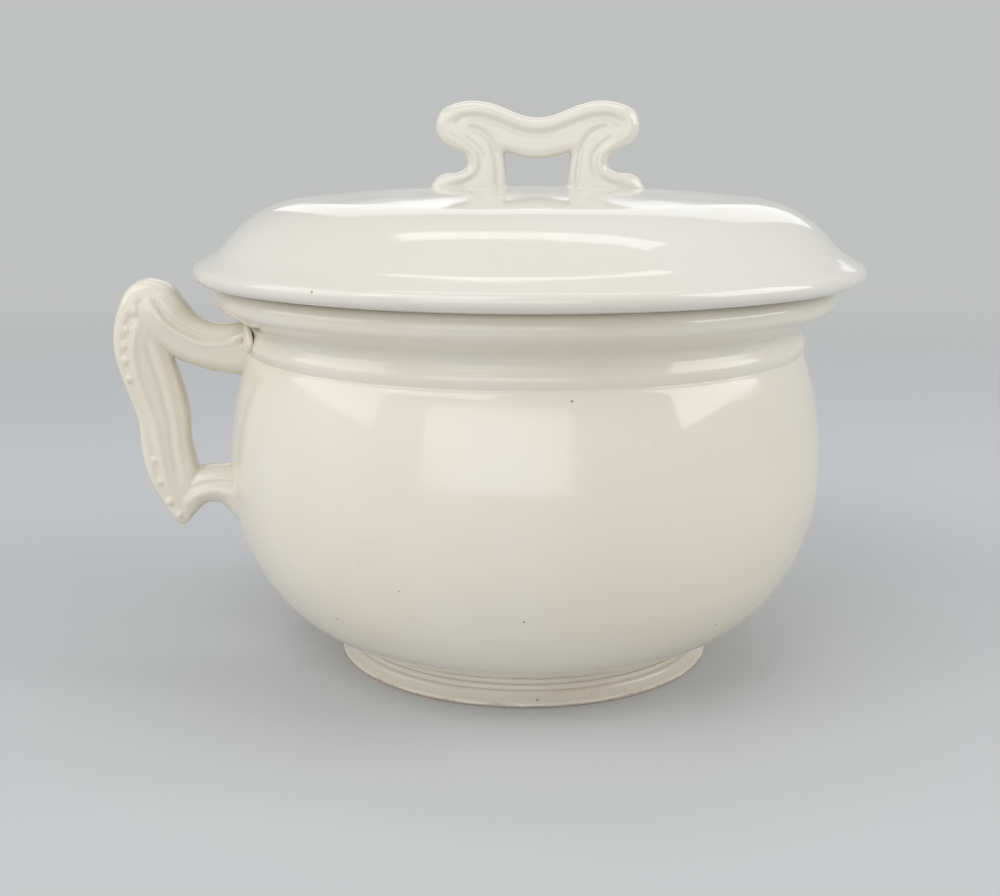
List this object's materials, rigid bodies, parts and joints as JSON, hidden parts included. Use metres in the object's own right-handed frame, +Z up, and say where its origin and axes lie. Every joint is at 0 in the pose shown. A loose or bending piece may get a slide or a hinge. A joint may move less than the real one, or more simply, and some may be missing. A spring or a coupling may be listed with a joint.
{
  "type": "chamber pot",
  "caption": "Round white glazed ceramic chamber pot with a moulded ear-shaped side handle, a foot ring and a domed lift-off lid with a scrolled bridge handle.",
  "frame": {"origin": "on the pot's axis, on the table that the foot stands on", "axes": "+Z up the pot's axis, the pot's handle along -X"},
  "size_m": [0.2826, 0.252, 0.2124],
  "materials": {
    "pot_glaze": "glossy clear glaze over a warm white body",
    "foot_glaze": "thin glaze, worn to the body where the foot stands",
    "lid_glaze": "glossy clear glaze over a warm white body",
    "flange_glaze": "thin glaze, wiped back inside the mouth"
  },
  "bodies": {
    "pot": {"pot_body": "pot_glaze", "foot_ring": "foot_glaze", "pot_handle": "pot_glaze"},
    "lid": {"lid_dome": "lid_glaze", "lid_flange": "flange_glaze", "lid_handle": "lid_glaze"}
  },
  "joints": [
    {"name": "lid_lift", "type": "slide", "parent": "pot", "child": "lid", "axis": [0, 0, 1], "range_m": [0, 0.15]}
  ]
}
